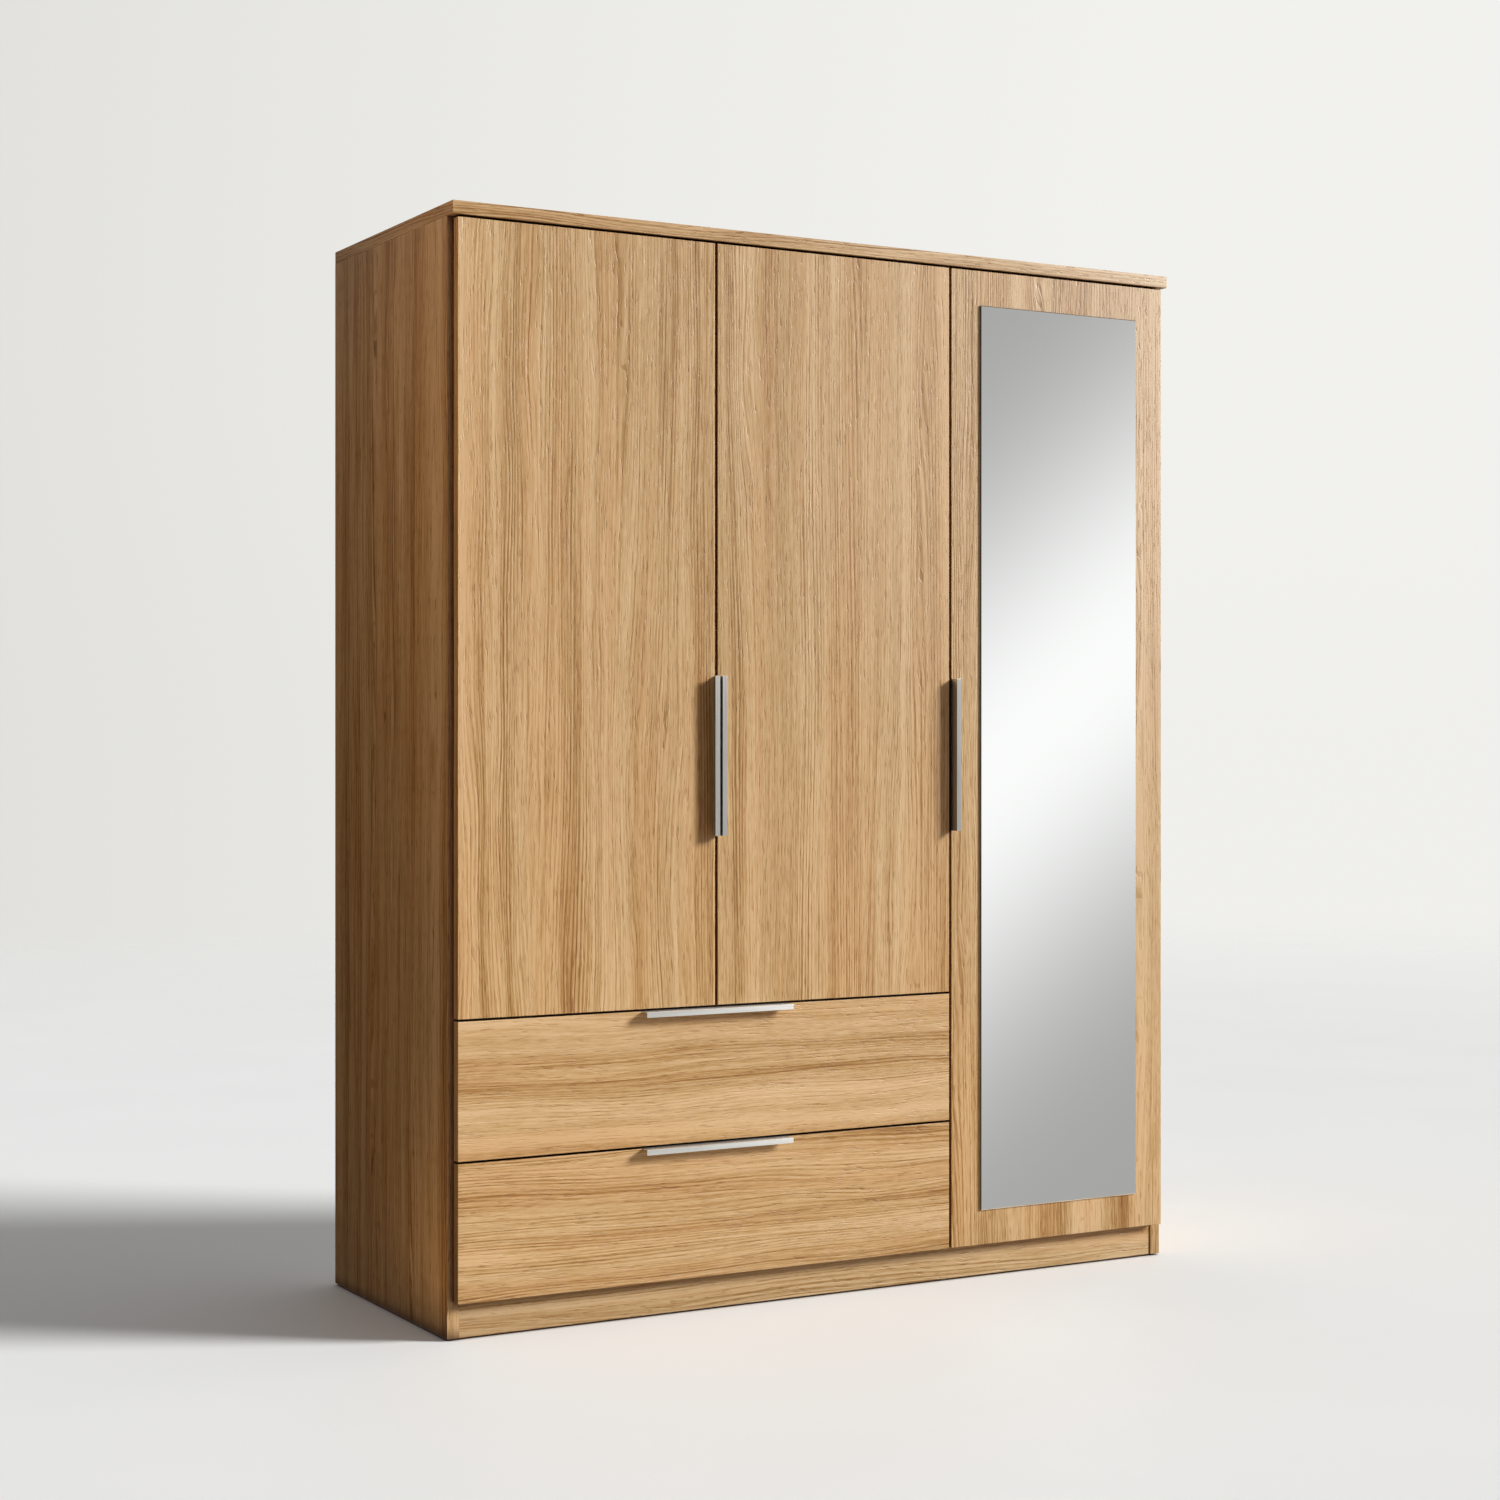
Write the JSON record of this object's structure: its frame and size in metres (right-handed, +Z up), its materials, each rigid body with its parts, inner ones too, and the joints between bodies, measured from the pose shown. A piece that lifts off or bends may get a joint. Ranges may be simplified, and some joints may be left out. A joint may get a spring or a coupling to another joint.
{
  "type": "wardrobe",
  "caption": "Oak-finish wardrobe: a pair of doors over wide drawers beside a tall mirror door, with edge pulls, hanging rail, shelves, cup hinges and telescopic runners.",
  "frame": {"origin": "on the floor, at the centre of the footprint, pulls included", "axes": "+X to the right of a person facing the doors, -Y out of the front towards that person, +Z up"},
  "size_m": [1.495, 0.564, 1.9],
  "materials": {
    "oak_upright": "satin oak laminate, grain upright",
    "oak_level": "satin oak laminate, grain level",
    "white_board": "matt white foil on board",
    "back_board": "white lacquered hardboard",
    "brushed_aluminium": "brushed, anodised",
    "mirror": "silvered glass",
    "chromed_tube": "polished",
    "zinc": "zinc plated",
    "nickel_steel": "nickel plated",
    "screw_steel": "zinc plated screws",
    "beech": "raw beech",
    "dark_plastic": "matt"
  },
  "bodies": {
    "carcase": {"side_left": "oak_upright", "side_right": "oak_upright", "partition": "oak_upright", "top_panel": "oak_level", "bottom_left": "oak_level", "bottom_right": "oak_level", "deck": "oak_level", "plinth_front": "oak_level", "rear_rails": "oak_level", "back_left": "back_board", "back_right": "back_board", "glides": "dark_plastic", "hat_shelf": "oak_level", "hanging_rail": "chromed_tube", "rail_sockets": "zinc", "fixed_shelf": "oak_level", "loose_shelves": "oak_level", "shelf_pins": "zinc", "cam_fittings": "zinc", "dowels": "beech", "carcase_screws": "screw_steel", "wall_brackets": "zinc", "hinge_plates": "nickel_steel", "hinge_arms": "nickel_steel", "runner_outers": "zinc"},
    "door_left": {"door_left": "oak_upright", "pull_left": "brushed_aluminium", "cups_left": "nickel_steel", "screws_left": "screw_steel"},
    "link_left": {"links_left": "nickel_steel"},
    "strut_left": {"struts_left": "nickel_steel"},
    "door_middle": {"door_middle": "oak_upright", "pull_middle": "brushed_aluminium", "cups_middle": "nickel_steel", "screws_middle": "screw_steel"},
    "link_middle": {"links_middle": "nickel_steel"},
    "strut_middle": {"struts_middle": "nickel_steel"},
    "door_right": {"door_right": "oak_upright", "pull_right": "brushed_aluminium", "cups_right": "nickel_steel", "screws_right": "screw_steel", "mirror": "mirror"},
    "link_right": {"links_right": "nickel_steel"},
    "strut_right": {"struts_right": "nickel_steel"},
    "upper_drawer": {"upper_front": "oak_level", "upper_sides": "white_board", "upper_ends": "white_board", "upper_bottom": "back_board", "upper_pull": "brushed_aluminium", "upper_inners": "zinc", "upper_screws": "screw_steel"},
    "upper_slides": {"upper_mids": "zinc"},
    "lower_drawer": {"lower_front": "oak_level", "lower_sides": "white_board", "lower_ends": "white_board", "lower_bottom": "back_board", "lower_pull": "brushed_aluminium", "lower_inners": "zinc", "lower_screws": "screw_steel"},
    "lower_slides": {"lower_mids": "zinc"}
  },
  "joints": [
    {"name": "door_left_swing", "type": "hinge", "parent": "carcase", "child": "door_left", "pos_m": [-0.7315, -0.258, 1.206], "axis": [0, 0, -1], "range_deg": [0, 105]},
    {"name": "link_left_turn", "type": "hinge", "parent": "carcase", "child": "link_left", "pos_m": [-0.7125, -0.237, 1.206], "axis": [0, 0, -1], "range_deg": [0, 105]},
    {"name": "strut_left_turn", "type": "hinge", "parent": "link_left", "child": "strut_left", "pos_m": [-0.6915, -0.2285, 1.206], "axis": [0, 0, -1], "range_deg": [-105, 0]},
    {"name": "door_middle_swing", "type": "hinge", "parent": "carcase", "child": "door_middle", "pos_m": [0.23883, -0.258, 1.206], "axis": [0, 0, 1], "range_deg": [0, 95]},
    {"name": "link_middle_turn", "type": "hinge", "parent": "carcase", "child": "link_middle", "pos_m": [0.21983, -0.237, 1.206], "axis": [0, 0, 1], "range_deg": [0, 95]},
    {"name": "strut_middle_turn", "type": "hinge", "parent": "link_middle", "child": "strut_middle", "pos_m": [0.19883, -0.2285, 1.206], "axis": [0, 0, 1], "range_deg": [-95, 0]},
    {"name": "door_right_swing", "type": "hinge", "parent": "carcase", "child": "door_right", "pos_m": [0.7315, -0.258, 0.969], "axis": [0, 0, 1], "range_deg": [0, 105]},
    {"name": "link_right_turn", "type": "hinge", "parent": "carcase", "child": "link_right", "pos_m": [0.7125, -0.237, 0.969], "axis": [0, 0, 1], "range_deg": [0, 105]},
    {"name": "strut_right_turn", "type": "hinge", "parent": "link_right", "child": "strut_right", "pos_m": [0.6915, -0.2285, 0.969], "axis": [0, 0, 1], "range_deg": [-105, 0]},
    {"name": "upper_drawer_slide", "type": "slide", "parent": "carcase", "child": "upper_drawer", "axis": [0, -1, 0], "range_m": [0, 0.4]},
    {"name": "upper_runner_slide", "type": "slide", "parent": "carcase", "child": "upper_slides", "axis": [0, -1, 0], "range_m": [0, 0.2]},
    {"name": "lower_drawer_slide", "type": "slide", "parent": "carcase", "child": "lower_drawer", "axis": [0, -1, 0], "range_m": [0, 0.4]},
    {"name": "lower_runner_slide", "type": "slide", "parent": "carcase", "child": "lower_slides", "axis": [0, -1, 0], "range_m": [0, 0.2]}
  ],
  "couplings": [
    {"joint": "link_left_turn", "follows": "door_left_swing", "ratio": 1},
    {"joint": "strut_left_turn", "follows": "door_left_swing", "ratio": -1},
    {"joint": "link_middle_turn", "follows": "door_middle_swing", "ratio": 1},
    {"joint": "strut_middle_turn", "follows": "door_middle_swing", "ratio": -1},
    {"joint": "link_right_turn", "follows": "door_right_swing", "ratio": 1},
    {"joint": "strut_right_turn", "follows": "door_right_swing", "ratio": -1},
    {"joint": "upper_runner_slide", "follows": "upper_drawer_slide", "ratio": 0.5},
    {"joint": "lower_runner_slide", "follows": "lower_drawer_slide", "ratio": 0.5}
  ]
}
